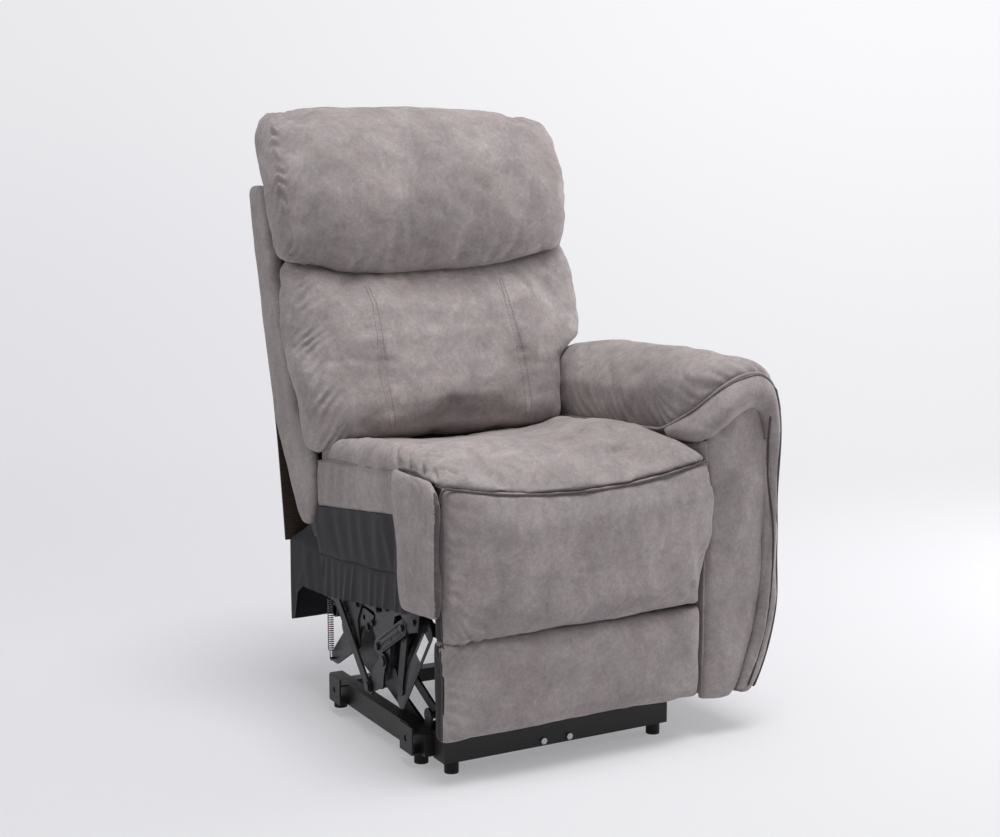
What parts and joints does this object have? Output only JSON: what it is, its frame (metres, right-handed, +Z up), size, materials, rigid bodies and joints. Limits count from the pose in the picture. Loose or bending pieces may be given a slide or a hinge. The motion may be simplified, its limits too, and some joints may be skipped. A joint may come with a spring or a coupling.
{
  "type": "lift recliner chair",
  "caption": "Upholstered recliner seat with one arm, pillow back, folding footrest and a tilting lift base.",
  "frame": {"origin": "on the floor under the middle of the whole chair", "axes": "+Z up, the sitter faces -Y, +X is the side with the arm"},
  "size_m": [0.694, 0.7906, 1.08],
  "materials": {
    "suede cloth": "brushed suede",
    "dust cloth": "plain weave",
    "wood": "raw plywood",
    "black steel": "satin",
    "grey steel": "satin",
    "bright steel": "polished",
    "rod steel": "ground",
    "spring steel": "drawn wire",
    "rubber": "matt",
    "motor plastic": "fine grain",
    "panel plastic": "fine grain",
    "button plastic": "smooth",
    "webbing": "woven strap"
  },
  "bodies": {
    "base": {"base_rail_left": "black steel", "base_rail_right": "black steel", "front_cross_bar": "black steel", "rear_cross_bar": "black steel", "joining_brackets": "black steel", "base_feet": "rubber", "base_bolts": "bright steel"},
    "lift arms": {"lift_arms": "grey steel", "lift_torque_tube": "grey steel"},
    "control links": {"control_links": "black steel"},
    "lift motor": {"lift_motor": "motor plastic"},
    "lift rod": {"lift_rod": "rod steel"},
    "chassis": {"side_plate_left": "grey steel", "side_plate_right": "grey steel", "rear_torque_tube": "black steel", "front_cross_tube": "black steel", "lift_lugs": "grey steel", "seat_side_rails": "wood", "seat_front_rail": "wood", "seat_rear_rail": "wood", "seat_springs": "spring steel", "seat_cushion": "suede cloth", "side_strip": "suede cloth", "boxing_board": "wood", "side_boxing": "suede cloth", "side_cloth": "dust cloth", "rear_skirt": "dust cloth", "arm_frame": "wood", "arm_inner_panel": "suede cloth", "arm_front_panel": "suede cloth", "arm_outer_panel": "suede cloth", "arm_welt": "suede cloth", "arm_top_pad": "suede cloth", "control_panel": "panel plastic", "counter_spring": "spring steel"},
    "footrest upper links": {"upper_links": "black steel", "footrest_torque_tube": "black steel"},
    "footrest lower links": {"lower_links": "black steel"},
    "guide links": {"guide_links": "black steel"},
    "ottoman": {"ottoman_board": "wood", "ottoman_brackets": "black steel", "footrest_upper_pad": "suede cloth", "footrest_lower_pad": "suede cloth"},
    "recline motor": {"recline_motor": "motor plastic"},
    "recline rod": {"recline_rod": "rod steel"},
    "back": {"back_brackets": "grey steel", "back_posts": "wood", "back_top_rail": "wood", "back_lower_rail": "wood", "back_webbing": "webbing", "wing_left": "suede cloth", "wing_right": "suede cloth", "lumbar_cushion": "suede cloth", "head_cushion": "suede cloth", "outer_back_panel": "suede cloth"},
    "recline cranks": {"recline_cranks": "grey steel"},
    "recline links": {"recline_links": "grey steel"},
    "recline button": {"recline_button": "button plastic"},
    "lift button": {"lift_button": "button plastic"}
  },
  "joints": [
    {"name": "lift", "type": "hinge", "parent": "base", "child": "lift arms", "pos_m": [-0.05575, -0.21728, 0.044], "axis": [1, 0, 0], "range_deg": [0, 46]},
    {"name": "chassis_tilt", "type": "hinge", "parent": "lift arms", "child": "chassis", "pos_m": [-0.05575, 0.08272, 0.15], "axis": [1, 0, 0], "range_deg": [-22, 0]},
    {"name": "control_link", "type": "hinge", "parent": "base", "child": "control links", "pos_m": [-0.05575, -0.24758, 0.08], "axis": [1, 0, 0], "range_deg": [0, 54.87]},
    {"name": "lift_motor_swing", "type": "hinge", "parent": "base", "child": "lift motor", "pos_m": [-0.05575, 0.07772, 0.06], "axis": [1, 0, 0], "range_deg": [0, 6.5]},
    {"name": "lift_rod_slide", "type": "slide", "parent": "lift motor", "child": "lift rod", "axis": [0, -0.9487, 0.3162], "range_m": [0, 0.0775]},
    {"name": "footrest", "type": "hinge", "parent": "chassis", "child": "footrest upper links", "pos_m": [-0.05575, -0.22728, 0.3], "axis": [-1, 0, 0], "range_deg": [0, 112]},
    {"name": "footrest_elbow", "type": "hinge", "parent": "footrest upper links", "child": "footrest lower links", "pos_m": [-0.05575, -0.18728, 0.112], "axis": [-1, 0, 0], "range_deg": [-156, 0]},
    {"name": "footrest_tilt", "type": "hinge", "parent": "footrest lower links", "child": "ottoman", "pos_m": [-0.05575, -0.28928, 0.238], "axis": [-1, 0, 0], "range_deg": [0, 132]},
    {"name": "footrest_guide", "type": "hinge", "parent": "footrest upper links", "child": "guide links", "pos_m": [-0.05575, -0.16498, 0.1321], "axis": [-1, 0, 0], "range_deg": [-160.74, 0]},
    {"name": "recline_motor_swing", "type": "hinge", "parent": "chassis", "child": "recline motor", "pos_m": [-0.05575, 0.06272, 0.215], "axis": [1, 0, 0], "range_deg": [0, 3.5]},
    {"name": "recline_rod_slide", "type": "slide", "parent": "recline motor", "child": "recline rod", "axis": [0, -0.9778, 0.2094], "range_m": [0, 0.098]},
    {"name": "back_recline", "type": "hinge", "parent": "chassis", "child": "back", "pos_m": [-0.05575, 0.16772, 0.35], "axis": [-1, 0, 0], "range_deg": [0, 38]},
    {"name": "recline_crank", "type": "hinge", "parent": "chassis", "child": "recline cranks", "pos_m": [-0.05575, -0.14228, 0.15], "axis": [1, 0, 0], "range_deg": [0, 28.15]},
    {"name": "recline_link", "type": "hinge", "parent": "recline cranks", "child": "recline links", "pos_m": [-0.05575, -0.08928, 0.092], "axis": [1, 0, 0], "range_deg": [-10.37, 0]},
    {"name": "recline_button_press", "type": "slide", "parent": "chassis", "child": "recline button", "axis": [-1, 0, 0], "range_m": [0, 0.0025], "stiffness_N_per_m": 300, "springref_m": -0.001},
    {"name": "lift_button_press", "type": "slide", "parent": "chassis", "child": "lift button", "axis": [-1, 0, 0], "range_m": [0, 0.0025], "stiffness_N_per_m": 300, "springref_m": -0.001}
  ],
  "couplings": [
    {"joint": "chassis_tilt", "follows": "lift", "ratio": -0.47826},
    {"joint": "control_link", "follows": "lift", "ratio": 1.1928},
    {"joint": "lift_motor_swing", "follows": "lift", "ratio": 0.13854},
    {"joint": "lift_rod_slide", "follows": "lift", "m_per_rad": 0.096241},
    {"joint": "footrest_elbow", "follows": "footrest", "ratio": -1.3929},
    {"joint": "footrest_tilt", "follows": "footrest", "ratio": 1.1786},
    {"joint": "footrest_guide", "follows": "footrest", "ratio": -1.4352},
    {"joint": "recline_motor_swing", "follows": "footrest", "ratio": 0.031036},
    {"joint": "recline_rod_slide", "follows": "footrest", "m_per_rad": 0.050088},
    {"joint": "recline_crank", "follows": "back_recline", "ratio": 0.74053},
    {"joint": "recline_link", "follows": "back_recline", "ratio": -0.27263}
  ]
}
